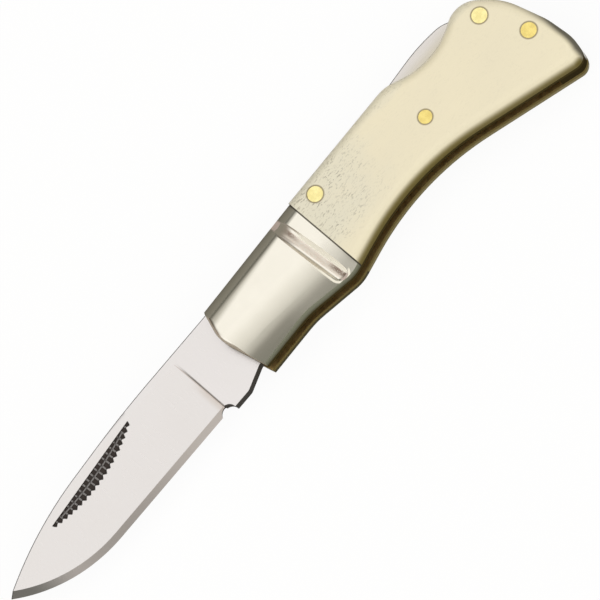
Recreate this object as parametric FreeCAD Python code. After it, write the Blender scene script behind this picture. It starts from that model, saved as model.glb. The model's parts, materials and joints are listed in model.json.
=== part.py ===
import FreeCAD
import Part
import math
import os

# A small lock-back folding knife, open, lying on its back scale.
# It is drawn from the blade pivot: x runs towards the butt, y towards the spine, and z across the
# knife from its middle plane, with the front side (the side with the nail pull) at +z.
# At the end the whole knife is moved so that it rests on z = 0 with the origin under its middle.
# All sizes are in millimetres and degrees.

# Outline of the handle: the corners between its straight sides, and how far each one is rounded.
# A reach or drop is measured from the pivot, and a setback from the rearmost corner at the butt.
# The hump of the belly lies a little ahead of the joint between bolster and scale.
handle_length = 70.2
bolster_length = 22.8
front_reach = 6.5
front_corner_y = 3.4
front_setback = 1.8
front_radius = 5.6
spine_front = 8.65
spine_joint = 9.43
spine_rear = 9.86
dip_setback = 16.45
dip_depth = 3.7
dip_radius = 12.5
dip_lead = 7.8
dip_lead_radius = 7.0
lobe_setback = 7.05
lobe_rise = 0.26
lobe_radius = 4.7
butt_upper_setback = 2.2
butt_upper_y = 4.5
butt_lower_setback = 0.35
butt_lower_y = -3.2
butt_radius = 11.0
foot_rise = 3.4
foot_radius = 8.0
toe_setback = 1.5
toe_radius = 2.1
butt_drop = 12.15
waist_x = 32.2
waist_drop = 2.4
waist_radius = 47.0
hump_lead = 1.7
hump_drop = 6.16
hump_radius = 7.2
bolster_bend_x = 5.3
bolster_bend_drop = 4.5
bolster_bend_radius = 15.0
belly_front = 4.76
edge_rounding = 1.8

# Thicknesses
blade_thickness = 2.1
liner_thickness = 0.9
scale_thickness = 2.5
side_play = 0.05

# Face of the bolster: how far it is rounded along the spine and round the front, and the large curve in
# which it falls away to the belly. That curve starts at a slanting line, which passes crown_height above
# the pivot, and turns by crown_turn.
spine_rounding = 2.7
front_rounding = 0.8
crown_radius = 26.0
crown_height = 2.75
crown_slant = 5.0
crown_turn = 30.0

# Flute across each bolster
flute_radius = 1.5
flute_depth = 0.45
flute_end_depth = 1.3
flute_edge_depth = 0.3
flute_setback = 3.35
flute_end_gap = 1.23
flute_slant = 3.6

# Blade
tip_margin = 6.05
tip_height = 3.05
drop_start = 32.5
drop_start_radius = 180.0
drop_bend = 9.9
drop_bend_depth = 1.6
drop_bend_radius = 66.0
edge_drop = 4.05
edge_belly_length = 18.4
edge_half_land = 0.2
edge_overrun = 1.15
bevel_width = 1.1
grind_drop = 1.2
plunge_x = -13.7
plunge_rounding = 0.35
heel_x = -15.35
choil_width = 2.75
choil_depth = 0.82
kick_end_x = -9.4
kick_drop = 4.68
kick_radius = 1.2
ricasso_x = -5.2
ricasso_drop = 3.2
ricasso_radius = 2.0
pull_start = 25.2
pull_length = 19.8
pull_inset = 1.35
pull_height = 1.75
pull_depth = 0.25
pull_teeth = 20
pull_tooth = 0.5

# Tang and lock
cam_radius = 4.2
notch_depth = 0.55
closed_flat_drop = 3.6
closed_flat_x = -1.5
lug_width = 1.6
lug_x = -0.8
lug_play = 0.15
cam_clearance = 0.08
edge_clearance = 0.27
kick_clearance = 0.42
bar_boss_length = 8.0
bar_boss_ramp = 2.5
bar_lift_lead = 12.0
bar_lift_radius = 60.0
bar_crest = 0.85
bar_crest_radius = 30.0
tail_depth = 3.7
tail_gap = 0.4
tail_taper = 2.0
tail_shoulder = 0.3
tail_shoulder_radius = 6.0
tail_top_drop = 1.1
tail_top_radius = 0.5

# Spring and spacer
spring_thickness = 0.6
spring_reach = 8.8
spring_seat_height = 2.4
spring_seat_depth = 2.6
spring_lead = 1.5
spring_bend_radius = 10.0
spring_gap = 0.03
spacer_wall = 0.9
spacer_foot_height = 1.2
tip_clearance = 0.6

# Pins
pivot_diameter = 2.6
pin_diameter = 2.5
rivet_diameter = 2.2
running_clearance = 0.03
bar_pin_setback = 3.76
bar_pin_y = 6.56
rivet_setback = 23.8
rivet_y = 1.05
spine_pin_setback = 6.55
spine_pin_y = 5.05
butt_pin_setback = 3.55
butt_pin_y = -2.6

# Levels and places worked out from the sizes
half_blade = blade_thickness / 2
half_slot = half_blade + side_play
liner_face = half_slot + liner_thickness
outer_face = liner_face + scale_thickness
butt_x = handle_length - front_reach
front_x = front_setback - front_reach
joint_x = bolster_length - front_reach
dip_x = butt_x - dip_setback
hump_x = joint_x - hump_lead
bar_pin_x = joint_x + bar_pin_setback
blade_reach = butt_x - tip_margin
grind_top = spine_front - grind_drop
edge_y = -edge_drop
seam_x = lug_x - lug_width / 2 - lug_play
spacer_x = butt_x - spine_pin_setback - pin_diameter / 2 - spacer_wall
tail_x = spacer_x - tail_gap
far = 2 * handle_length


def at(x, y, z=0.0):
    return FreeCAD.Vector(x, y, z)


def line(start, end):
    return Part.makeLine(start, end)


def arc(start, middle, end):
    return Part.Arc(start, middle, end).toShape()


def polyline(points):
    return [line(a, b) for a, b in zip(points, points[1:])]


def rounded(corners):
    """Straight lines through the corners (x, y, radius), rounded at each corner by its radius.

    Where two roundings would meet on a side, both are made smaller so that they fit on it.
    """
    points = [at(x, y) for x, y, radius in corners]
    sides = [b - a for a, b in zip(points, points[1:])]
    turns = [a.getAngle(b) for a, b in zip(sides, sides[1:])]
    reaches = [0.0]
    for corner, turn in zip(corners[1:-1], turns):
        reaches.append(corner[2] * math.tan(turn / 2))
    reaches.append(0.0)
    fits = []
    for side, a, b in zip(sides, reaches, reaches[1:]):
        fits.append(min(1.0, 0.999 * side.Length / max(a + b, 1e-6)))
    edges = []
    last = points[0]
    for i in range(1, len(points) - 1):
        before = sides[i - 1].normalize()
        after = sides[i].normalize()
        reach = reaches[i] * min(fits[i - 1], fits[i])
        start = points[i] - before * reach
        end = points[i] + after * reach
        edges.append(line(last, start))
        if reach > 0:
            to_arc = reach * math.tan(turns[i - 1] / 4)
            middle = points[i] + (after - before).normalize() * to_arc
            edges.append(arc(start, middle, end))
        last = end
    edges.append(line(last, points[-1]))
    return edges


def plate(edges, low, high):
    """A flat plate between two levels of z, from the edges of its outline."""
    face = Part.Face(Part.Wire(Part.__sortEdges__(edges)))
    face.translate(at(0, 0, low))
    return face.extrude(at(0, 0, high - low))


def box(low, high):
    size = high - low
    return Part.makeBox(size.x, size.y, size.z, low)


def pin(x, y, diameter, low, high):
    return Part.makeCylinder(diameter / 2, high - low, at(x, y, low))


def drilled(shape, places, diameter):
    """The shape with a hole right through at each place."""
    for x, y in places:
        shape = shape.cut(pin(x, y, diameter, -far, far))
    return shape


def height_on(outline, x):
    """The y of an outline where it passes x."""
    upright = line(at(x, -far), at(x, far))
    return outline.distToShape(upright)[1][0][0].y


def other_side(shape):
    return shape.mirror(at(0, 0), at(0, 0, 1))


# Outline of the handle, shared by the liners, bolsters, scales and spacer

handle_outline = rounded(
    [
        (front_x, spine_front, 0),
        (joint_x, spine_joint, 0),
        (dip_x - dip_lead, spine_rear, dip_lead_radius),
        (dip_x, spine_rear - dip_depth, dip_radius),
        (butt_x - lobe_setback, spine_rear + lobe_rise, lobe_radius),
        (butt_x - butt_upper_setback, butt_upper_y, butt_radius),
        (butt_x - butt_lower_setback, butt_lower_y, butt_radius),
        (butt_x, foot_rise - butt_drop, foot_radius),
        (butt_x - toe_setback, -butt_drop, toe_radius),
        (waist_x, -waist_drop, waist_radius),
        (hump_x, -hump_drop, hump_radius),
        (bolster_bend_x, -bolster_bend_drop, bolster_bend_radius),
        (front_x, -belly_front, 0),
        (-front_reach, front_corner_y, front_radius),
        (front_x, spine_front, 0),
    ]
)
ahead_of_joint = box(at(-far, -far, -far), at(joint_x, far, far))
behind_joint = box(at(joint_x, -far, -far), at(far, far, far))

# Places of the pins, as (x, y)
bar_pin_place = (bar_pin_x, bar_pin_y)
rivet_place = (butt_x - rivet_setback, rivet_y)
spine_pin_place = (butt_x - spine_pin_setback, spine_pin_y)
butt_pin_place = (butt_x - butt_pin_setback, butt_pin_y)
pin_places = [bar_pin_place, spine_pin_place, butt_pin_place]


# Sides of the handle


def liner():
    shape = plate(handle_outline, half_slot, liner_face)
    shape = drilled(shape, [(0, 0)], pivot_diameter)
    shape = drilled(shape, pin_places, pin_diameter)
    return drilled(shape, [rivet_place], rivet_diameter)


def covering(side_of_joint):
    """The block over the liner on one side of the joint, and the outer edges of its face."""
    block = plate(handle_outline, liner_face, outer_face).common(side_of_joint)
    edges = []
    for edge in block.Edges:
        on_joint = abs(edge.CenterOfMass.x - joint_x) < 1e-4
        if not on_joint and edge.BoundBox.ZMin > outer_face - 1e-4:
            edges.append(edge)
    return block, edges


def scale():
    block, edges = covering(behind_joint)
    shape = drilled(block.makeFillet(edge_rounding, edges), pin_places, pin_diameter)
    return drilled(shape, [rivet_place], rivet_diameter)


def shaving(radius, turn):
    """What lies outside a round edge along x, which is level at the origin and bends down towards -y."""
    points = []
    for share in (0, 0.5, 1):
        angle = math.radians(turn) * share
        points.append(at(-far, -radius * math.sin(angle), radius * (math.cos(angle) - 1)))
    outside = points[2] - at(0, radius)
    corners = [points[2], outside, outside + at(0, 0, far), points[0] + at(0, 0, far), points[0]]
    section = Part.Face(Part.Wire([arc(*points)] + polyline(corners)))
    return section.extrude(at(2 * far, 0, 0))


def crown():
    """What is taken off the face of the bolster, which falls away to the belly in a large curve."""
    shape = shaving(crown_radius, crown_turn)
    shape.rotate(at(0, 0), at(0, 0, 1), -crown_slant)
    shape.translate(at(0, crown_height, outer_face))
    return shape


def spine_shaving():
    """What is taken off the edge of the bolster along the spine."""
    slope = math.atan2(spine_joint - spine_front, joint_x - front_x)
    inward = at(math.sin(slope), -math.cos(slope)) * spine_rounding
    shape = shaving(spine_rounding, 90)
    shape.rotate(at(0, 0), at(0, 0, 1), 180 + math.degrees(slope))
    shape.translate(at(joint_x, spine_joint, outer_face) + inward)
    return shape


def flute():
    """A round-bottomed groove that comes over the edge at the spine and has a round end near the belly."""
    x = joint_x - flute_setback
    spine_y = height_on(handle_outline[0], x)
    start = at(x, spine_y, outer_face + flute_radius - flute_depth)
    end = at(x, flute_end_gap - hump_drop, outer_face + flute_radius - flute_end_depth)
    groove = Part.makeCylinder(flute_radius, (start - end).Length, end, start - end)
    groove = groove.fuse(Part.makeSphere(flute_radius, end))
    edge_centre = at(x, spine_y - spine_rounding, outer_face - spine_rounding)
    edge_reach = (spine_rounding + flute_radius - flute_edge_depth) / math.sqrt(2)
    over_edge = edge_centre + at(0, edge_reach, edge_reach)
    downward = at(0, 2 * spine_rounding, -2 * spine_rounding)
    above = over_edge - downward
    groove = groove.fuse(Part.makeCylinder(flute_radius, 2 * downward.Length, above, downward))
    groove.rotate(at(x, 0), at(0, 0, 1), flute_slant)
    return groove


def bolster():
    """The block ahead of the joint, rounded round the front and along the belly and the spine."""
    block, edges = covering(ahead_of_joint)
    front = []
    belly = []
    for edge in edges:
        if edge.BoundBox.XMax < front_x + 1e-4:
            front.append(edge)
        elif edge.BoundBox.YMax < 0:
            belly.append(edge)
    shape = block.makeFillet(front_rounding, front).common(block.makeFillet(edge_rounding, belly))
    for taken_off in (spine_shaving(), crown(), flute()):
        shape = shape.cut(taken_off)
    return drilled(shape, [(0, 0)], pivot_diameter)


# Blade

tip = at(-blade_reach, tip_height)
edge_turn = at(-blade_reach + edge_belly_length, edge_y)
edge_radius = (edge_belly_length**2 + (tip_height - edge_y) ** 2) / (2 * (tip_height - edge_y))
blade_spine = rounded(
    [
        (seam_x, spine_front, 0),
        (-blade_reach + drop_start, spine_front, drop_start_radius),
        (-blade_reach + drop_bend, spine_front - drop_bend_depth, drop_bend_radius),
        (-blade_reach, tip_height, 0),
    ]
)


def edge_line(inset):
    """The cutting edge moved into the blade by an inset: its straight stretch and its round one."""
    radius = edge_radius - inset
    centre = edge_turn + at(0, edge_radius)
    sweep = math.asin(edge_belly_length / edge_radius) + math.radians(edge_overrun)
    places = []
    for angle in (sweep / 2, sweep):
        places.append(centre + at(-radius * math.sin(angle), -radius * math.cos(angle)))
    start = at(heel_x + choil_width / 2, edge_y + inset)
    turn = at(edge_turn.x, edge_y + inset)
    return [line(start, turn), arc(turn, *places)]


def ground_face():
    """The slope of the plane of the front grind, as z over y, and its z at the pivot."""
    slope = (half_blade - edge_half_land) / (grind_top - edge_y)
    return slope, edge_half_land - slope * edge_y


def bevel_line(inset):
    """The edge line at an inset, lifted onto the bevel, which crosses z = 0 at the cutting edge."""
    slope, height = ground_face()
    centre_y = edge_y + edge_radius
    share = inset / bevel_width
    shrink = (edge_radius - bevel_width) / (edge_radius - inset)
    lift = FreeCAD.Matrix()
    lift.A32 = share * slope * shrink
    lift.A34 = share * (height + slope * centre_y * (1 - shrink))
    return [piece.transformGeometry(lift).Edges[0] for piece in edge_line(inset)]


def grind():
    """The wedge that is ground off the front of the blade, rounded where it ends at the plunge."""
    slope, height = ground_face()
    low_y = edge_y - 2 * bevel_width
    top = at(plunge_x, grind_top, slope * grind_top + height)
    low = at(plunge_x, low_y, slope * low_y + height)
    corners = [top, low, at(plunge_x, low_y, blade_thickness), at(plunge_x, grind_top, blade_thickness)]
    wedge = Part.Face(Part.Wire(polyline(corners + corners[:1]))).extrude(at(-far, 0, 0))
    middle = (top + low) / 2
    plunge = min(wedge.Edges, key=lambda edge: (edge.CenterOfMass - middle).Length)
    return wedge.makeFillet(plunge_rounding, [plunge])


def bevels():
    """What is ground off the front of the blade to make the cutting edge."""
    cuts = []
    for near, away in zip(bevel_line(bevel_width), bevel_line(-bevel_width)):
        cuts.append(Part.makeRuledSurface(near, away).extrude(at(0, 0, blade_thickness)))
    return cuts


def nail_pull():
    """A shallow crescent with a straight upper side and a toothed lower one."""
    ends = []
    for x in (-pull_start, -pull_start - pull_length):
        ends.append(at(x, height_on(Part.Wire(blade_spine), x) - pull_inset))
    chord = ends[1] - ends[0]
    below = at(-chord.y, chord.x).normalize()
    middle = (ends[0] + ends[1]) / 2 + below * pull_height
    lower = arc(ends[0], middle, ends[1])
    points = lower.discretize(2 * pull_teeth + 1)
    for i in range(1, len(points), 2):
        points[i] = points[i] + (points[i] - lower.Curve.Center).normalize() * pull_tooth
    slope, height = ground_face()
    face_z = slope * middle.y + height
    shape = plate(polyline(points + points[:1]), face_z - pull_depth, face_z + blade_thickness)
    shape.rotate(at(0, middle.y, face_z), at(1, 0), math.degrees(math.atan(slope)))
    return shape


def tang():
    """The round cam at the end of the blade, with its flat for the closed blade."""
    shape = pin(0, 0, 2 * cam_radius, -half_blade, half_blade)
    return shape.cut(box(at(-far, -far, -half_blade), at(far, -closed_flat_drop, half_blade)))


def lock_notch():
    """The notch that the lug of the lock bar drops into."""
    floor_y = cam_radius - notch_depth
    tooth_x = lug_x + lug_width / 2 + lug_play
    return box(at(seam_x, floor_y, -half_blade), at(tooth_x, far, half_blade))


def choil():
    """The round-topped notch at the heel of the edge."""
    top = edge_y + choil_depth - choil_width / 2
    low = at(heel_x, -far, -half_blade)
    shape = box(low, at(heel_x + choil_width, top, half_blade))
    return shape.fuse(pin(heel_x + choil_width / 2, top, choil_width, -half_blade, half_blade))


def blade():
    straight, belly = edge_line(-bevel_width / 2)
    heel = straight.valueAt(straight.FirstParameter)
    past_tip = belly.valueAt(belly.LastParameter)
    underside = rounded(
        [
            (heel.x, heel.y, 0),
            (heel.x, -kick_drop, 0),
            (kick_end_x, -kick_drop, kick_radius),
            (ricasso_x, -ricasso_drop, ricasso_radius),
            (closed_flat_x, -closed_flat_drop, 0),
        ]
    )
    inside = polyline(
        [
            at(closed_flat_x, -closed_flat_drop),
            at(closed_flat_x, 0),
            at(seam_x, 0),
            at(seam_x, spine_front),
        ]
    )
    outline = blade_spine + [line(tip, past_tip), belly, straight] + underside + inside
    shape = plate(outline, -half_blade, half_blade).fuse(tang()).removeSplitter()
    for cut in [grind()] + bevels():
        shape = shape.cut(cut).cut(other_side(cut))
    shape = shape.cut(lock_notch()).cut(choil()).cut(nail_pull())
    return drilled(shape, [(0, 0)], pivot_diameter + 2 * running_clearance)


# Lock bar, its spring and the butt spacer


def bar_underside():
    """The underside of the lock bar from the lug at its nose to its tail."""
    lug_low = cam_radius + cam_clearance
    lug_front = lug_x - lug_width / 2
    lug_back = lug_x + lug_width / 2
    over_kick = kick_drop + kick_clearance
    boss_low = edge_drop + edge_clearance
    boss_front = bar_pin_x - bar_boss_length / 2
    boss_back = bar_pin_x + bar_boss_length / 2
    return [
        at(lug_front, lug_low),
        at(lug_back, lug_low),
        at(lug_back, over_kick),
        at(boss_front - bar_boss_ramp, over_kick),
        at(boss_front, boss_low),
        at(boss_back, boss_low),
        at(tail_x, spine_rear - tail_depth),
    ]


def lock_bar():
    """The bar is flush with the spine of the handle up to the thumb dip, where its back stands clear."""
    low = bar_underside()
    spine = Part.Wire(handle_outline[:3])
    lift_x = dip_x - bar_lift_lead
    back = rounded(
        [
            (low[0].x, low[0].y, 0),
            (low[0].x, height_on(spine, low[0].x), 0),
            (joint_x, spine_joint, 0),
            (lift_x, height_on(spine, lift_x), bar_lift_radius),
            (dip_x, spine_rear + bar_crest, bar_crest_radius),
            (tail_x - tail_taper, spine_rear + tail_shoulder, tail_shoulder_radius),
            (tail_x, spine_rear - tail_top_drop, tail_top_radius),
            (tail_x, low[-1].y, 0),
        ]
    )
    shape = plate(back + polyline(low), -half_blade, half_blade)
    return drilled(shape, [bar_pin_place], pin_diameter + 2 * running_clearance)


def lock_spring():
    """A leaf that runs from its seat in the spacer up to the underside of the lock bar."""
    tip_x = tail_x - spring_reach
    low = bar_underside()
    tip_y = height_on(line(low[-2], low[-1]), tip_x) - spring_gap
    seat_y = spring_seat_height + spring_thickness
    sides = []
    for drop in (0, spring_thickness):
        sides.append(
            [
                (spacer_x + spring_seat_depth, seat_y - drop, 0),
                (spacer_x - spring_lead, seat_y - drop, spring_bend_radius),
                (tip_x, tip_y - drop, 0),
            ]
        )
    ends = [line(at(*sides[0][i][:2]), at(*sides[1][i][:2])) for i in (0, -1)]
    return plate(rounded(sides[0]) + rounded(sides[1]) + ends, -half_blade, half_blade)


def butt_spacer():
    """It fills the butt behind the sweep of the blade's tip and below the tail of the lock bar."""
    handle = plate(handle_outline, -half_slot, half_slot)
    sweep = 2 * (math.hypot(blade_reach, tip_height) + tip_clearance)
    foot = handle.cut(pin(0, 0, sweep, -half_slot, half_slot))
    upper = box(at(spacer_x, spacer_foot_height, -half_slot), at(far, far, half_slot))
    shape = foot.fuse(handle.common(upper)).removeSplitter()
    slot_high = at(spacer_x + spring_seat_depth, spring_seat_height + spring_thickness, half_slot)
    shape = shape.cut(box(at(spacer_x, spring_seat_height, -half_slot), slot_high))
    return drilled(shape, [spine_pin_place, butt_pin_place], pin_diameter)


# Pins, ground flush with the faces of the handle


def pivot_pin():
    shape = pin(0, 0, pivot_diameter, -outer_face, outer_face)
    return shape.cut(crown()).cut(other_side(crown()))


def through_pin(place):
    return pin(*place, pin_diameter, -outer_face, outer_face)


def scale_rivet():
    return pin(*rivet_place, rivet_diameter, half_slot, outer_face)


pieces = {
    "front_liner": liner(),
    "front_bolster": bolster(),
    "front_scale": scale(),
    "front_scale_rivet": scale_rivet(),
    "blade": blade(),
    "lock_bar": lock_bar(),
    "lock_spring": lock_spring(),
    "butt_spacer": butt_spacer(),
    "blade_pivot_pin": pivot_pin(),
    "lock_bar_pin": through_pin(bar_pin_place),
    "spacer_pin_spine": through_pin(spine_pin_place),
    "spacer_pin_butt": through_pin(butt_pin_place),
}
for name in ("liner", "bolster", "scale", "scale_rivet"):
    pieces["back_" + name] = other_side(pieces["front_" + name])

# The origin goes under the middle of the knife, at the level of the back scale
extent = Part.makeCompound(list(pieces.values())).optimalBoundingBox(False)
to_origin = at(-extent.Center.x, -extent.Center.y, outer_face)

os.makedirs("parts", exist_ok=True)
for name, shape in pieces.items():
    shape.translate(to_origin)
    shape.exportStep("parts/" + name + ".step")
    solids = len(shape.Solids)
    print(name, "solids", solids, "valid", shape.isValid(), "volume", round(shape.Volume, 2))
for name, place in (("pivot", (0, 0)), ("lock bar pin", bar_pin_place)):
    print(name, [round(value, 4) for value in at(*place) + to_origin])
print("size", extent.XLength, extent.YLength, extent.ZLength)
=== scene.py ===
import json
import math

import bmesh
import bpy
from mathutils import Matrix, Vector


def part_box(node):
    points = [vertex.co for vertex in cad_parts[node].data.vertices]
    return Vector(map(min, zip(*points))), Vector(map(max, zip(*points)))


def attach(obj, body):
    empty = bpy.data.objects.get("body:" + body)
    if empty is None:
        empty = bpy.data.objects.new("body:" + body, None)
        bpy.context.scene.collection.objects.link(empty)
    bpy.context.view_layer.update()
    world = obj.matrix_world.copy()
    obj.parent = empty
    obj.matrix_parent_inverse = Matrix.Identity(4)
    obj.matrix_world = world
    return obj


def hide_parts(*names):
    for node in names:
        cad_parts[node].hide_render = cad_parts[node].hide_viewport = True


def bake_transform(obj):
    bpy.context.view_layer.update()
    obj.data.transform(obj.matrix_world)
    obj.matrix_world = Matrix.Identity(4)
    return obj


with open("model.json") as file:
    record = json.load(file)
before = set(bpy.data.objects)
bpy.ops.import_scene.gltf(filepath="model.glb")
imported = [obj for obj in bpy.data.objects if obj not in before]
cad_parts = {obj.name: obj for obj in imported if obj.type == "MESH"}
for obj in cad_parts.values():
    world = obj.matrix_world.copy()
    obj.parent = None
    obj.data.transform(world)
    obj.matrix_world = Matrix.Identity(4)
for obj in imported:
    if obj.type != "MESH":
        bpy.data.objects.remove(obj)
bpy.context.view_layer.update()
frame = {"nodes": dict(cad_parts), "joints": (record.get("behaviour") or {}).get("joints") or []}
nodes = frame["nodes"]
joints = {joint["name"]: joint for joint in frame["joints"]}
pivot = Vector(joints["blade_fold"]["pos_m"])

# A small lock-back folding knife with bone scales, nickel silver bolsters and brass pins.
# Lengths are in millimetres, measured from the blade pivot: x to the butt, y to the spine, and z up from
# the middle plane of the knife. The scene itself is in metres, so they are multiplied by mm. Angles are
# in degrees.
mm = 0.001


def place(x, y, z):
    """A point given in millimetres from the pivot, in the scene's metres."""
    return pivot + Vector((x, y, z)) * mm


def box_mm(node):
    """The lowest and the highest corner of a CAD node, in millimetres from the pivot."""
    low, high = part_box(node)
    return (low - pivot) / mm, (high - pivot) / mm


# Camera
view_tilt = 19.6
view_roll = 49.6
view_width = 92.1
view_distance = 700.0
view_depth = 10000.0
view_centre = (6.197, -1.132, 0.0)
sensor_width = 36.0

# Light: a long strip over the knife, by its angle up from the spine side, two soft panels off the ends
# of the knife and towards its belly side, and a dim glow ahead of its tip
strip_stops = [
    (0, (0.17, 0.165, 0.14)),
    (46, (0.20, 0.20, 0.175)),
    (52, (0.34, 0.335, 0.30)),
    (58, (0.54, 0.53, 0.50)),
    (65, (0.82, 0.805, 0.77)),
    (71, (0.975, 0.96, 0.925)),
    (79, (0.83, 0.815, 0.77)),
    (84, (0.72, 0.705, 0.66)),
    (87, (0.655, 0.64, 0.595)),
    (91, (0.47, 0.46, 0.42)),
    (95, (0.30, 0.29, 0.26)),
    (100, (0.265, 0.26, 0.23)),
    (110, (0.20, 0.21, 0.165)),
    (180, (0.19, 0.205, 0.16)),
]
strip_strength = 1.4
panel_directions = [(-0.75, -0.28, 0.6), (0.75, -0.28, 0.6)]
panel_spread = 40.0
panel_softness = 10.0
panel_colour = (1.37, 1.345, 1.3)
glow_reach = (-0.55, -0.85)
glow_colour = (0.42, 0.31, 0.26)

# Floor: it lies a little below the knife, is white to the camera and in reflections, and throws back
# little light
floor_size = 4000.0
floor_gap = 0.02
floor_white_share = 0.92
floor_colour = (0.98, 0.98, 0.98)
floor_grain = {"scale": 40.0}
floor_grain_share = (0.0, 0.05)
floor_grain_colour = (0.88, 0.88, 0.88)
floor_bounce_colour = (0.22, 0.21, 0.2)

# Knife sizes that the finishes and the small pieces follow, and the pins that show in the front scale
front_pins = ("lock_bar_pin", "spacer_pin_spine", "spacer_pin_butt", "front_scale_rivet")
joint_x = box_mm("front_scale")[0].x
outer_face = box_mm("front_scale")[1].z
plunge_x = -13.7
ground_slope = 0.0739
ground_height = 0.4993
pull_start = (-25.2, 7.18)
pull_end = (-45.0, 5.45)
pull_height = 1.75
pull_depth = 0.25
pull_teeth = 20
flute_setback = 3.35
flute_x = joint_x - flute_setback
flute_slant = 3.6
flute_end_y = -5.7

# Ridges of the nail pull, by half their width, and the cuts across the leaf of the lock spring
ridge_foot = 0.24
ridge_top = 0.13
ridge_sink = 0.02
ridge_rise = 0.15
ridge_middle = 0.5
leaf_cuts = 24
weld_distance = 0.001

# In the finishes below, a pair of limits says where a layer starts to show and where it shows in full:
# by x, y or z, by how far the surface faces a way, or by a texture. A share is how much of a layer shows,
# a relief is its strength and its depth, and the settings in braces are those of a noise texture, with its
# scale or stretch in waves to the millimetre.
bare_gloss = 0.5
front_half = (-1.0, 1.0)
top_facing = (0.5, 0.8)
seam_colour = (0.09, 0.08, 0.06)

# Painted shade: a thin dark line along the spine edges of the steel pieces
edge_line_width = 0.25
edge_line_samples = 8
edge_line_turn = (0.05, 0.25)

# Blade: ground satin steel, the cutting bevel, painted shade on its walls and along the plunge line with a
# painted warm reflection beside it, and painted shade in the nail pull
steel_dark = (0.705, 0.685, 0.70)
steel_light = (0.775, 0.755, 0.77)
steel_roughness = (0.24, 0.34)
steel_grinding = {"stretch": (14.0, 0.5, 1.0), "detail": 4.0, "roughness": 0.6}
grinding_share = (0.3, 0.7)
grinding_relief = (0.25, 0.012)
steel_cloud = {"scale": 0.12}
steel_cloud_share = (0.0, 0.25)
steel_cloud_colour = (0.69, 0.65, 0.64)
steel_edge_shade_colour = (0.06, 0.058, 0.055)
steel_wall_facing = (0.8, 0.4)
steel_wall_shade_colour = (0.10, 0.094, 0.088)
bevel_facing = (0.992, 0.98)
bevel_x = (-38.0, -16.0)
bevel_front_colour = (0.39, 0.36, 0.345)
bevel_heel_colour = (0.575, 0.53, 0.51)
bevel_roughness = 0.38
bevel_tip_x = (-46.0, -55.0)
bevel_tip_colour = (0.17, 0.165, 0.155)
plunge_width = (0.2, 0.08)
plunge_y = (7.6, 3.0)
plunge_share = 0.8
plunge_shade_colour = (0.20, 0.18, 0.165)
warm_start_x = (plunge_x - 1.5, plunge_x - 0.4)
warm_end_x = (plunge_x, plunge_x - 0.1)
warm_y = (4.0, 0.0)
warm_share = 0.5
warm_reflection_colour = (0.56, 0.49, 0.44)
pull_below = (0.04, 0.13)
pull_start_x = (pull_start[0] + 0.7, pull_start[0] + 0.6)
pull_end_x = (pull_end[0] - 0.7, pull_end[0] - 0.6)
pull_lowest_y = (2.6, 2.8)
pull_side_z = (0.0, 0.2)
pull_shade_colour = (0.055, 0.046, 0.042)
pull_roughness = 0.7

# Lock bar, spacer and spring: polished steel, with painted shade low down, lighter towards the spine, and
# painted shade on the belly side
bar_y = (7.9, 10.2)
bar_shaded_colour = (0.53, 0.493, 0.415)
bar_lit_colour = (0.625, 0.60, 0.585)
bar_roughness = (0.16, 0.28)
bar_lines = {"stretch": (0.4, 6.0, 12.0), "detail": 3.0}
bar_line_share = (0.0, 0.2)
bar_line_colour = (0.60, 0.56, 0.54)
bar_relief = (0.2, 0.01)
bar_edge_shade_colour = (0.06, 0.055, 0.052)
bar_belly_facing = (-0.2, -0.7)
bar_belly_shade_colour = (0.05, 0.036, 0.014)

# Bolsters: polished nickel silver, with painted shade towards the spine and the front of the belly
silver_dark = (0.70, 0.675, 0.61)
silver_light = (0.75, 0.725, 0.66)
silver_roughness = (0.10, 0.17)
silver_cloud = {"scale": 0.35, "detail": 3.0}
silver_scratches = {"scale": 1.2, "stretch": (1.0, 9.0, 9.0), "detail": 3.0}
# Painted shade: a band along the spine and a patch low at the front of the belly
bolster_shade_colour = (0.25, 0.235, 0.19)
spine_shade_slope = 0.09
spine_shade_y = (5.15, 6.3)
spine_shade_share = 0.75
low_front_x = (8.0, 1.0)
low_front_y = (-1.5, -3.0)
low_front_share = 0.35
# Painted shade on the belly side of the bolsters, darker low down
belly_side_up = (0.82, 0.66)
belly_side_facing = (-0.3, -0.55)
belly_side_z = (1.6, 3.1)
belly_side_low_colour = (0.12, 0.105, 0.06)
belly_side_high_colour = (0.27, 0.275, 0.205)
# Painted shade along the spine rounding, lighter and pinkish in the flute as a painted reflection
spine_side_facing = (0.16, 0.32)
spine_flute_width = (0.6, 1.0)
spine_flute_colour = (0.62, 0.52, 0.47)
# Painted shade on the front lip
lip_facing = (-0.5, -0.75)
lip_x = (6.0, 4.0)
lip_colour = (0.42, 0.37, 0.30)
satin_x = (joint_x - 2.4, joint_x - 1.6)
satin_y = (3.0, -3.0)
satin_share = 0.45
bolster_seam_x = (joint_x - 0.24, joint_x - 0.1)

# Flute of the bolsters: a width or a side is measured across it from its middle line, negative to the tip
bed_width = (0.8, 0.4)
bed_depth = (0.1, 0.22)
bed_end_y = (flute_end_y, flute_end_y + 0.4)
bed_roughness = 0.42
bed_grain = {"scale": 5.0, "detail": 3.0, "roughness": 0.7}
bed_relief = (0.5, 0.06)
tint_grain = (0.35, 0.65)
tint_share = (0.05, 0.75)
tint_colour = (0.68, 0.56, 0.475)
shade_spine_y = (3.5, 6.0)
shade_belly_y = (-1.5, -3.5)
shade_side = (-0.4, 0.1)
shade_grain = (0.2, 0.55)
shade_colour = (0.25, 0.19, 0.155)
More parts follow.
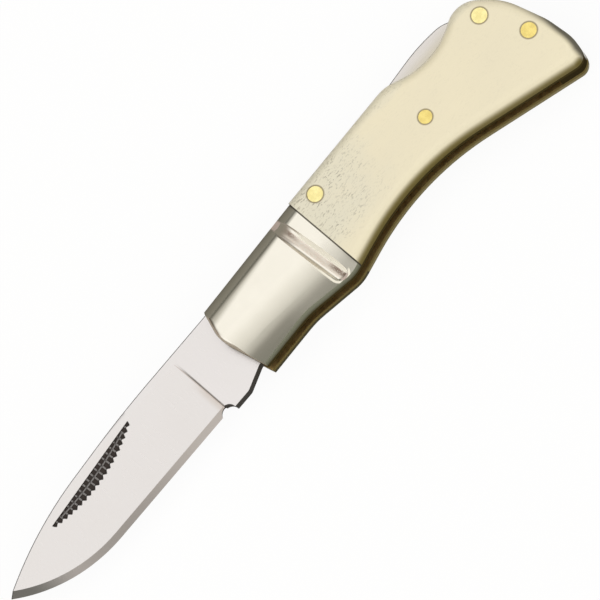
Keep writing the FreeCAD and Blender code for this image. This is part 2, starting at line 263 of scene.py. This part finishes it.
# Painted shade on the front wall and front edge of the flute
front_wall_foot = (-0.3, -0.6)
front_wall_head = (-1.2, -1.0)
front_wall_y = (3.0, 5.5)
front_wall_colour = (0.36, 0.325, 0.285)
front_edge_side = -1.02
front_edge_width = (0.25, 0.1)
front_edge_y = (-4.6, -1.0)
front_edge_share = 0.45
# Painted highlights on the back wall of the flute and round its rim
lit_wall_foot = (0.5, 0.7)
lit_wall_head = (1.7, 1.5)
lit_wall_facing = (-0.06, -0.2)
lit_wall_y = (5.5, 3.5)
highlight_colour = (0.90, 0.86, 0.75)
rim_radius = 1.5
rim_width = (0.28, 0.1)
rim_y = (1.0, -3.0)
rim_front = (0.2, -0.2)
rim_end_y = -4.4
rim_end_round = (0.3, 0.9)
# Painted shade at the end of the flute at the spine
spine_end_y = (5.4, 7.0)
spine_end_width = (1.5, 1.3)
spine_end_depth = (0.05, 0.3)
spine_end_colour = (0.30, 0.26, 0.215)

# Scales: cream bone, grey and porous towards the bolster, stained round the pins, with painted shade on the
# belly side and darker at the butt
bone_light = (0.935, 0.855, 0.635)
bone_dark = (0.85, 0.78, 0.60)
bone_cloud = {"stretch": (0.06, 0.12, 0.12), "detail": 3.0}
bone_roughness = (0.36, 0.6)
bone_relief = (0.2, 0.03)
bone_fibre = {"stretch": (0.9, 3.2, 3.2), "detail": 3.0}
fibre_share = (0.0, 0.10)
fibre_colour = (0.74, 0.67, 0.49)
grey_waver = {"scale": 0.16, "detail": 3.0}
grey_front_waver = 16.0
grey_front_x = (42.0, 28.0)
grey_front_y = (-4.0, 1.0)
grey_spine_waver = 3.0
grey_spine_y = (8.6, 9.8)
grey_spine_share = 0.5
grey_share = 0.8
grey_colour = (0.775, 0.745, 0.62)
bone_pores = {"stretch": (1.9, 4.8, 4.8), "roughness": 0.6}
pore_size = (0.53, 0.65)
pore_clusters = {"scale": 0.45}
pore_cluster_size = (0.4, 0.6)
pore_cluster_share = (0.35, 1.0)
pore_least = 0.08
pore_share = 0.65
pore_colour = (0.29, 0.26, 0.20)
pin_ring_width = (0.34, 0.1)
pin_ring_share = 0.8
pin_ring_colour = (0.20, 0.145, 0.045)
# Painted shade on the belly side of the scales, and the butt end darker, most of all at the toe
belly_shade_facing = (0.6, 1.0)
butt_dark_facing = (0.2, 0.9)
toe_dark_y = (1.0, -8.0)
toe_dark_share = (0.6, 1.2)
edge_dark_half_share = (0.85, 1.0)
edge_dark_butt_turn = (0.2, 0.6)
belly_shade_colour = (0.25, 0.20, 0.07)
butt_dark_colour = (0.16, 0.148, 0.115)
dark_edge_gloss_facing = (0.3, 0.7)
# Darker on the walls that face the spine
spine_wall_facing = (0.85, 0.97)
spine_wall_share = 0.4
spine_wall_colour = (0.25, 0.24, 0.20)
scale_seam_x = (joint_x + 0.1, joint_x + 0.04)

# Brass of the pins and liners, with its tarnish in patches and painted shade on the walls
brass_patches = {"scale": 0.9, "detail": 4.0, "roughness": 0.6}
patch_size = (0.35, 0.65)
brass_relief = (0.15, 0.02)
brass_wall_facing = (0.6, 0.2)
brass_back_wall_shade_colour = (0.24, 0.185, 0.07)
pin_wall_shade_colour = (0.40, 0.30, 0.10)
pin_roughness = (0.22, 0.4)
pin_tarnish = 0.5
pin_colours = ((0.90, 0.81, 0.40), (0.83, 0.71, 0.29))
warm_pin_colours = ((0.815, 0.67, 0.235), (0.75, 0.58, 0.18))
liner_wall_shade_colour = (0.08, 0.06, 0.021)
liner_roughness = (0.3, 0.5)
liner_tarnish = 0.7
liner_colours = ((0.55, 0.40, 0.16), (0.30, 0.21, 0.09))

# Node tools


class Value:
    """The output of a shader node, which can be used in sums."""

    def __init__(self, socket):
        self.socket = socket
        self.tree = socket.id_data

    def __add__(self, other):
        return calc("ADD", self, other)

    def __sub__(self, other):
        return calc("SUBTRACT", self, other)

    def __rsub__(self, other):
        return calc("SUBTRACT", other, self)

    def __mul__(self, other):
        return calc("MULTIPLY", self, other)

    def __neg__(self):
        return calc("MULTIPLY", self, -1.0)

    def __abs__(self):
        return calc("ABSOLUTE", self)


def tree_of(*given):
    """The node tree of the first of these that comes from a node."""
    return next(one.tree for one in given if isinstance(one, Value))


def add(tree, kind, inputs=None, **settings):
    """A shader node, with its inputs set to plain values or joined to the outputs of other nodes."""
    made = tree.nodes.new("ShaderNode" + kind)
    for name, setting in settings.items():
        setattr(made, name, setting)
    for name, given in (inputs or {}).items():
        if isinstance(given, Value):
            tree.links.new(given.socket, made.inputs[name])
        else:
            made.inputs[name].default_value = given
    return made


def calc(operation, *numbers):
    inputs = dict(enumerate(numbers))
    return Value(add(tree_of(*numbers), "Math", inputs, operation=operation).outputs[0])


def vector_calc(operation, *vectors, output="Vector"):
    inputs = dict(enumerate(vectors))
    return Value(add(tree_of(*vectors), "VectorMath", inputs, operation=operation).outputs[output])


def highest(first, *others):
    """The highest of several numbers at each place."""
    for other in others:
        first = calc("MAXIMUM", first, other)
    return first


def fade(number, limits):
    """0 where the number is at the first limit, 1 where it is at the second, and smooth between."""
    start, end = limits
    inputs = {"Value": number, "From Min": start, "From Max": end}
    return Value(add(number.tree, "MapRange", inputs, interpolation_type="SMOOTHSTEP").outputs[0])


def scaled(number, ends):
    """A number from 0 to 1 moved to the range between two ends."""
    low, high = ends
    return Value(add(number.tree, "MapRange", {"Value": number, "To Min": low, "To Max": high}).outputs[0])


def opaque(colour):
    """A plain colour with its alpha, or a colour from a node as it is."""
    return colour if isinstance(colour, Value) else (*colour, 1)


def mix(share, below, above, blend_type="MIX"):
    """One colour over another by a share. The node's inputs and output for colours are 0, 6, 7 and 2."""
    inputs = {0: share, 6: opaque(below), 7: opaque(above)}
    tree = tree_of(share, below, above)
    return Value(add(tree, "Mix", inputs, data_type="RGBA", blend_type=blend_type).outputs[2])


def split(vector):
    return [Value(part) for part in add(vector.tree, "SeparateXYZ", {0: vector}).outputs]


def flat_vector(x, y):
    return Value(add(x.tree, "CombineXYZ", {0: x, 1: y}).outputs[0])


def noise(vector, scale=1.0, stretch=None, detail=2.0, roughness=0.5):
    if stretch is not None:
        vector = vector_calc("MULTIPLY", vector, stretch)
    inputs = {"Vector": vector, "Scale": scale, "Detail": detail, "Roughness": roughness}
    return Value(add(vector.tree, "TexNoise", inputs).outputs[0])


class Finish:
    """A material that is painted layer by layer. It holds the place on the piece at rest, in millimetres
    from the pivot, and how far the surface faces a flat side, from 0 to 1, and the butt and the spine,
    from -1 to 1."""

    def __init__(self, name, colour):
        self.material = bpy.data.materials.new(name)
        self.material.use_nodes = True
        self.tree = self.material.node_tree
        self.shader = self.tree.nodes["Principled BSDF"]
        self.colour = colour
        coordinates = add(self.tree, "TexCoord").outputs
        moved = vector_calc("SUBTRACT", Value(coordinates["Object"]), pivot)
        self.spot = vector_calc("MULTIPLY", moved, (1 / mm, 1 / mm, 1 / mm))
        self.x, self.y, self.z = split(self.spot)
        self.to_butt, self.to_spine, upwards = split(Value(coordinates["Normal"]))
        self.up = abs(upwards)

    def paint(self, share, colour):
        """Lays a colour over the layers so far."""
        self.colour = mix(share, self.colour, colour)

    def join(self, name, output):
        self.tree.links.new(output.socket, self.shader.inputs[name])

    def set_metal(self, dull):
        """Bare metal, made dull and not metallic over the share of it that is given, so that what is
        painted there, painted shade and painted highlights among it, shows as painted.
        """
        self.join("Metallic", scaled(dull, (1.0, 0.0)))
        self.join("Specular IOR Level", scaled(dull, (bare_gloss, 0.0)))

    def set_surface(self, roughness, height, relief):
        """Joins the painted colour, the roughness and the relief to the shader."""
        strength, depth = relief
        self.join("Base Color", self.colour)
        self.join("Roughness", roughness)
        inputs = {"Height": height, "Strength": strength, "Distance": depth * mm}
        self.join("Normal", Value(add(self.tree, "Bump", inputs).outputs[0]))


def edge_line(finish):
    """1 on a thin line along the edges that turn towards the spine, and 0 elsewhere: where the painted
    shade line goes.
    """
    inputs = {"Radius": edge_line_width * mm}
    softened = Value(add(finish.tree, "Bevel", inputs, samples=edge_line_samples).outputs[0])
    settings = {"vector_type": "NORMAL", "convert_from": "WORLD", "convert_to": "OBJECT"}
    turned = Value(add(finish.tree, "VectorTransform", {0: softened}, **settings).outputs[0])
    softened_to_spine = split(turned)[1]
    return fade(softened_to_spine - finish.to_spine, edge_line_turn)


# Finishes


def in_nail_pull(steel):
    """1 in the nail pull, which lies below the ground face on the front of the blade, and 0 elsewhere."""
    ground_z = steel.y * ground_slope + ground_height
    lengthwise = fade(steel.x, pull_start_x) * fade(steel.x, pull_end_x)
    upright = fade(steel.y, pull_lowest_y) * fade(steel.z, pull_side_z)
    return fade(ground_z - steel.z, pull_below) * lengthwise * upright


def blade_steel():
    """Satin steel with fine cross grinding, a duller cutting bevel, painted shade on its walls, along its
    spine edges, along the plunge line and in the nail pull, and a painted warm reflection by the plunge.
    """
    steel = Finish("blade_steel", steel_dark)
    grinding = noise(steel.spot, **steel_grinding)
    steel.paint(scaled(grinding, grinding_share), steel_light)
    steel.paint(scaled(noise(steel.spot, **steel_cloud), steel_cloud_share), steel_cloud_colour)
    bevel = fade(steel.up, bevel_facing)
    steel.paint(bevel, mix(fade(steel.x, bevel_x), bevel_front_colour, bevel_heel_colour))
    # Painted shade along the plunge line, and a painted warm reflection beside it on the tip side
    plunge = fade(abs(steel.x - plunge_x), plunge_width) * fade(steel.y, plunge_y) * plunge_share
    steel.paint(plunge, plunge_shade_colour)
    warm = fade(steel.x, warm_start_x) * fade(steel.x, warm_end_x) * fade(steel.y, warm_y)
    steel.paint(warm * warm_share, warm_reflection_colour)
    bevel_tip = bevel * fade(steel.x, bevel_tip_x)
    steel.paint(bevel_tip, bevel_tip_colour)
    # Painted shade: a thin dark line along the spine edges
    steel.paint(edge_line(steel), steel_edge_shade_colour)
    # Painted shade: the walls of the blade that face sideways are dark and dull
    shaded_wall = fade(steel.up, steel_wall_facing)
    steel.paint(shaded_wall, steel_wall_shade_colour)
    # Painted shade in the recess of the nail pull
    pull = in_nail_pull(steel)
    steel.paint(pull, pull_shade_colour)
    steel.set_metal(highest(shaded_wall, pull, plunge, bevel_tip))
    rough = highest(scaled(grinding, steel_roughness), bevel * bevel_roughness, pull * pull_roughness)
    steel.set_surface(rough, grinding, grinding_relief)
    return steel.material


def bar_steel():
    """Polished steel of the lock bar, the spacer and the spring, with fine lines, painted shade low down
    and on its belly side, and a painted shade line along its spine edges.
    """
    bar = Finish("bar_steel", bar_shaded_colour)
    lines = noise(bar.spot, **bar_lines)
    # Painted shade low down on the bar, and lighter towards the spine
    bar.paint(fade(bar.y, bar_y), bar_lit_colour)
    bar.paint(scaled(lines, bar_line_share), bar_line_colour)
    # Painted shade: a thin dark line along the spine edges
    bar.paint(edge_line(bar), bar_edge_shade_colour)
    # Painted shade on the sides that face the belly
    belly_side = fade(bar.to_spine, bar_belly_facing)
    bar.paint(belly_side, bar_belly_shade_colour)
    bar.set_metal(belly_side)
    bar.set_surface(scaled(lines, bar_roughness), lines, bar_relief)
    return bar.material


def paint_bed(silver, side, depth):
    """The rough pinkish bed of the flute, shaded towards its ends. Gives back the bed and its relief."""
    bed = fade(abs(side), bed_width) * fade(depth, bed_depth)
    bed = bed * fade(silver.up, top_facing) * fade(silver.y, bed_end_y)
    grain = noise(silver.spot, **bed_grain)
    silver.paint(bed * scaled(fade(grain, tint_grain), tint_share), tint_colour)
    ends = highest(fade(silver.y, shade_spine_y), fade(silver.y, shade_belly_y))
    silver.paint(bed * ends * fade(side, shade_side) * fade(grain, shade_grain), shade_colour)
    return bed, bed * grain


def paint_walls(silver, side, depth):
    """The walls of the flute, with painted shade in front, painted highlights behind and along the rim, and
    painted shade at the end of the flute at the spine. Gives back what of them is dull."""
    # Painted shade on the front wall and front edge
    front_wall = fade(side, front_wall_foot) * fade(side, front_wall_head) * fade(silver.y, front_wall_y)
    front_edge = fade(abs(side - front_edge_side), front_edge_width) * fade(silver.y, front_edge_y)
    silver.paint(highest(front_wall, front_edge * front_edge_share), front_wall_colour)
    # Painted highlights on the back wall and along the rim
    lit_wall = fade(side, lit_wall_foot) * fade(side, lit_wall_head)
    lit_wall = lit_wall * fade(silver.to_butt, lit_wall_facing) * fade(silver.y, lit_wall_y)
    past_end = highest(rim_end_y - silver.y, 0.0)
    from_middle = vector_calc("LENGTH", flat_vector(side, past_end), output="Value")
    rim = fade(abs(from_middle - rim_radius), rim_width) * fade(silver.y, rim_y)
    rim = rim * highest(fade(side, rim_front), fade(past_end, rim_end_round)) * fade(silver.up, top_facing)
    highlights = highest(lit_wall, rim)
    silver.paint(highlights, highlight_colour)
    # Painted shade at the end of the flute at the spine
    spine_end = fade(silver.y, spine_end_y) * fade(abs(side), spine_end_width)
    spine_end = spine_end * fade(depth, spine_end_depth)
    silver.paint(spine_end, spine_end_colour)
    return highest(highlights, spine_end)


def nickel_silver():
    """Polished nickel silver with a flute across it, and painted shade along its spine, belly and front."""
    silver = Finish("nickel_silver", silver_dark)
    silver.paint(noise(silver.spot, **silver_cloud), silver_light)
    slant = math.radians(flute_slant)
    side = (silver.x - flute_x) * math.cos(slant) + silver.y * math.sin(slant)
    depth = outer_face - abs(silver.z)
    bed, relief = paint_bed(silver, side, depth)
    dull_walls = paint_walls(silver, side, depth)
    # Painted shade: a dark band along the spine, and a darker patch low at the front
    tarnish_and_shade = fade(silver.y - silver.x * spine_shade_slope, spine_shade_y) * spine_shade_share
    low_front = fade(silver.x, low_front_x) * fade(silver.y, low_front_y) * low_front_share
    silver.paint(highest(tarnish_and_shade, low_front), bolster_shade_colour)
    # Painted shade on the belly side, darker low down
    belly_side = fade(silver.up, belly_side_up) * fade(silver.to_spine, belly_side_facing)
    belly_colour = mix(fade(silver.z, belly_side_z), belly_side_low_colour, belly_side_high_colour)
    silver.paint(belly_side, belly_colour)
    # Painted shade along the spine rounding, lighter and pinkish in the flute as a painted reflection
    spine_side = fade(silver.to_spine, spine_side_facing)
    silver.paint(spine_side, mix(fade(abs(side), spine_flute_width), spine_flute_colour, bolster_shade_colour))
    # Painted shade on the front lip
    lip = fade(silver.to_butt, lip_facing) * fade(silver.x, lip_x)
    silver.paint(lip, lip_colour)
    silver.paint(fade(silver.x, bolster_seam_x), seam_colour)
    satin = fade(silver.x, satin_x) * fade(silver.y, satin_y) * satin_share
    silver.set_metal(highest(belly_side, spine_side, lip, dull_walls, satin))
    scratches = noise(silver.spot, **silver_scratches)
    rough = highest(scaled(scratches, silver_roughness), bed * bed_roughness)
    silver.set_surface(rough, relief, bed_relief)
    return silver.material


def paint_pores(skin):
    """The grey part of the bone, which runs out towards the butt in an uneven edge, and its fine pores.
    Gives back the pores."""
    waver = noise(skin.spot, **grey_waver)
    front = fade(waver * grey_front_waver + skin.x, grey_front_x) * fade(skin.y, grey_front_y)
    spine = fade(waver * grey_spine_waver + skin.y, grey_spine_y) * grey_spine_share
    grey = highest(front, spine)
    skin.paint(grey * grey_share, grey_colour)
    pores = fade(noise(skin.spot, **bone_pores), pore_size)
    clusters = fade(noise(skin.spot, **pore_clusters), pore_cluster_size)
    pores = pores * scaled(clusters, pore_cluster_share) * highest(grey, pore_least)
    skin.paint(pores * pore_share, pore_colour)
    return pores


def paint_pin_rings(skin):
    """A dark ring in the bone round each pin."""
    rings = []
    for node in front_pins:
        low, high = box_mm(node)
        middle = ((low.x + high.x) / 2, (low.y + high.y) / 2, 0.0)
        radius = (high.x - low.x) / 2
        apart = vector_calc("DISTANCE", flat_vector(skin.x, skin.y), middle, output="Value")
        rings.append(fade(apart - radius, pin_ring_width))
    skin.paint(highest(*rings) * pin_ring_share, pin_ring_colour)


def bone():
    """Cream bone, grey and porous towards the bolster, with painted shade at its belly edge, darker at the
    butt, and stains round the pins.
    """
    skin = Finish("bone", bone_light)
    skin.paint(noise(skin.spot, **bone_cloud), bone_dark)
    pores = paint_pores(skin)
    fibre = noise(skin.spot, **bone_fibre)
    skin.paint(scaled(fibre, fibre_share), fibre_colour)
    paint_pin_rings(skin)
    # Painted shade on the belly side, and the butt end darker, most of all at the toe
    to_belly = -skin.to_spine
    to_toe = skin.to_butt * scaled(fade(skin.y, toe_dark_y), toe_dark_share)
    dark_edges = highest(fade(to_belly, belly_shade_facing), fade(to_toe, butt_dark_facing))
    dark_edges = dark_edges * scaled(fade(skin.z, front_half), edge_dark_half_share)
    skin.paint(dark_edges, mix(fade(skin.to_butt, edge_dark_butt_turn), belly_shade_colour, butt_dark_colour))
    # Darker on the walls that face the spine
    skin.paint(fade(skin.to_spine, spine_wall_facing) * spine_wall_share, spine_wall_colour)
    skin.paint(fade(skin.x, scale_seam_x), seam_colour)
    outwards = fade(highest(to_belly, skin.to_butt), dark_edge_gloss_facing)
    skin.join("Specular IOR Level", scaled(outwards, (bare_gloss, 0.0)))
    skin.set_surface(scaled(pores, bone_roughness), fibre - pores, bone_relief)
    return skin.material


def brass(name, colours, wall_shade_colour, roughness, tarnish_and_shade):
    """Brass with a brownish tarnish in patches, and painted shade on its walls."""
    light, dark = colours
    metal = Finish(name, light)
    patches = noise(metal.spot, **brass_patches)
    tarnished = fade(patches, patch_size) * tarnish_and_shade
    metal.paint(tarnished, dark)
    # Painted shade on the walls
    shaded_wall = fade(metal.up, brass_wall_facing)
    metal.paint(shaded_wall, mix(fade(metal.z, front_half), brass_back_wall_shade_colour, wall_shade_colour))
    metal.set_metal(shaded_wall)
    metal.set_surface(scaled(tarnished, roughness), patches, brass_relief)
    return metal.material


steel = blade_steel()
bar = bar_steel()
silver = nickel_silver()
bone_finish = bone()
pin_brass = brass("pin_brass", pin_colours, pin_wall_shade_colour, pin_roughness, pin_tarnish)
warm_brass = brass("warm_brass", warm_pin_colours, pin_wall_shade_colour, pin_roughness, pin_tarnish)
liner_brass = brass("liner_brass", liner_colours, liner_wall_shade_colour, liner_roughness, liner_tarnish)

finishes = {
    "blade": steel,
    "lock_bar": bar,
    "butt_spacer": bar,
    "blade_pivot_pin": silver,
    "lock_bar_pin": pin_brass,
    "spacer_pin_spine": pin_brass,
    "spacer_pin_butt": warm_brass,
}
for side in ("front_", "back_"):
    finishes[side + "bolster"] = silver
    finishes[side + "scale"] = bone_finish
    finishes[side + "liner"] = liner_brass
    finishes[side + "scale_rivet"] = warm_brass
for name, finish in finishes.items():
    nodes[name].data.materials.clear()
    nodes[name].data.materials.append(finish)


def new_piece(name, shape, finish):
    """A piece with the mesh that was made in shape."""
    mesh = bpy.data.meshes.new(name)
    shape.to_mesh(mesh)
    shape.free()
    mesh.materials.append(finish)
    piece = bpy.data.objects.new(name, mesh)
    bpy.context.scene.collection.objects.link(piece)
    return piece


# Lock spring: the leaf from its seat in the spacer to the lock bar, cut across into short lengths


def spring_leaf():
    """The CAD spring's shape, cut across into short lengths."""
    shape = bmesh.new()
    shape.from_mesh(nodes["lock_spring"].data)
    bmesh.ops.remove_doubles(shape, verts=shape.verts, dist=weld_distance * mm)
    low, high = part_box("lock_spring")
    for i in range(1, leaf_cuts):
        across = Vector((low.x + (high.x - low.x) * i / leaf_cuts, 0, 0))
        everything = shape.verts[:] + shape.edges[:] + shape.faces[:]
        bmesh.ops.bisect_plane(shape, geom=everything, plane_co=across, plane_no=(1, 0, 0))
    return new_piece("lock_spring_leaf", shape, bar)


leaf = spring_leaf()
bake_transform(leaf)
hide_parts("lock_spring")


# Ridges of the nail pull: one from each notch of its lower side to its upper side, and one along it


def add_ridge(shape, points):
    """A ridge with sloping sides along a line of points on the floor of the nail pull."""
    section = [
        (-ridge_foot, -ridge_sink),
        (ridge_foot, -ridge_sink),
        (ridge_top, ridge_rise),
        (-ridge_top, ridge_rise),
    ]
    rings = []
    for i, point in enumerate(points):
        before = points[max(i - 1, 0)]
        after = points[min(i + 1, len(points) - 1)]
        run = (after - before).normalized()
        sideways = Vector((-run.y, run.x))
        ring = []
        for across, height in section:
            spot = point + sideways * across
            floor_z = ground_slope * spot.y + ground_height - pull_depth
            ring.append(shape.verts.new(place(spot.x, spot.y, floor_z + height)))
        rings.append(ring)
    for ring, following in zip(rings, rings[1:]):
        for j in range(len(ring)):
            k = (j + 1) % len(ring)
            shape.faces.new((ring[j], ring[k], following[k], following[j]))
    shape.faces.new(rings[0][::-1])
    shape.faces.new(rings[-1])


def pull_ridges():
    """The ridges lie between the chord and the toothed arc of the nail pull, a segment of a circle."""
    start = Vector(pull_start)
    chord = Vector(pull_end) - start
    half = chord.length / 2
    along = chord.normalized()
    below = Vector((-along.y, along.x))
    radius = (half ** 2 + pull_height ** 2) / (2 * pull_height)
    arc_turn = 2 * math.asin(half / radius)
    shape = bmesh.new()
    middles = []
    for i in range(1, pull_teeth):
        turn = arc_turn * (i / pull_teeth - 0.5)
        foot = start + along * (half + radius * math.sin(turn))
        across = below * (pull_height - radius * (1 - math.cos(turn)))
        add_ridge(shape, [foot, foot + across])
        middles.append(foot + across * ridge_middle)
    add_ridge(shape, middles[1:-1])
    bmesh.ops.recalc_face_normals(shape, faces=shape.faces)
    return new_piece("nail_pull_ridges", shape, steel)


ridges = pull_ridges()
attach(ridges, "blade")


# Floor, light and camera


def floor_finish():
    """Mostly an even white where it is seen, with some matt white that takes the shadow."""
    made = bpy.data.materials.new("floor")
    made.use_nodes = True
    tree = made.node_tree
    tree.nodes.remove(tree.nodes["Principled BSDF"])
    path = add(tree, "LightPath").outputs
    rays = ("Is Camera Ray", "Is Glossy Ray", "Is Transmission Ray")
    seen = highest(*[Value(path[ray]) for ray in rays])
    grain = noise(Value(add(tree, "TexCoord").outputs["Object"]), **floor_grain)
    pale = mix(scaled(grain, floor_grain_share), floor_colour, floor_grain_colour)
    colour = mix(seen, floor_bounce_colour, pale)
    matt = Value(add(tree, "BsdfDiffuse", {"Color": colour}).outputs[0])
    white = Value(add(tree, "Emission", {"Color": (1, 1, 1, 1), "Strength": 1.0}).outputs[0])
    both = add(tree, "MixShader", {0: seen * floor_white_share, 1: matt, 2: white})
    tree.links.new(both.outputs[0], tree.nodes["Material Output"].inputs[0])
    return made


def make_floor():
    half = floor_size / 2 * mm
    low = -floor_gap * mm
    corners = [(-half, -half, low), (half, -half, low), (half, half, low), (-half, half, low)]
    shape = bmesh.new()
    shape.faces.new([shape.verts.new(corner) for corner in corners])
    return new_piece("floor", shape, floor_finish())


make_floor()


def make_light():
    """The light comes from the world: the strip, then the glow over it, then the panels over both."""
    world = bpy.data.worlds.new("studio")
    bpy.context.scene.world = world
    world.use_nodes = True
    tree = world.node_tree
    towards = Value(add(tree, "TexCoord").outputs["Generated"])
    to_butt, to_spine, upwards = split(towards)
    angle = calc("ARCTAN2", upwards, to_spine)
    strip = add(tree, "ValToRGB", {0: calc("DIVIDE", angle, math.pi)})
    stops = strip.color_ramp.elements
    while len(stops) < len(strip_stops):
        stops.new(0.5)
    for stop, (degrees, colour) in zip(stops, strip_stops):
        stop.position = degrees / 180
        stop.color = (*colour, 1)
    light = mix(1.0, Value(strip.outputs[0]), (strip_strength,) * 3, "MULTIPLY")
    light = mix(fade(to_butt, glow_reach), light, glow_colour)
    outside = math.cos(math.radians(panel_spread + panel_softness / 2))
    inside = math.cos(math.radians(panel_spread - panel_softness / 2))
    for direction in panel_directions:
        near = vector_calc("DOT_PRODUCT", towards, Vector(direction).normalized(), output="Value")
        light = mix(fade(near, (outside, inside)), light, panel_colour)
    tree.links.new(light.socket, tree.nodes["Background"].inputs["Color"])


make_light()


def make_camera():
    """The camera looks at the knife from the belly side, and is turned so that the blade points down."""
    tilt = math.radians(view_tilt)
    roll = math.radians(view_roll)
    along = Vector((1, 0, 0))
    upward = Vector((0, math.cos(tilt), math.sin(tilt)))
    back = Vector((0, -math.sin(tilt), math.cos(tilt)))
    right = along * math.cos(roll) - upward * math.sin(roll)
    up = along * math.sin(roll) + upward * math.cos(roll)
    data = bpy.data.cameras.new("camera")
    data.sensor_width = sensor_width
    data.lens = sensor_width * view_distance / view_width
    data.clip_end = view_depth * mm
    made = bpy.data.objects.new("camera", data)
    bpy.context.scene.collection.objects.link(made)
    spot = place(*view_centre) + back * view_distance * mm
    made.matrix_world = Matrix.Translation(spot) @ Matrix((right, up, back)).transposed().to_4x4()
    bpy.context.scene.camera = made


make_camera()
bpy.context.scene.view_settings.view_transform = "Standard"
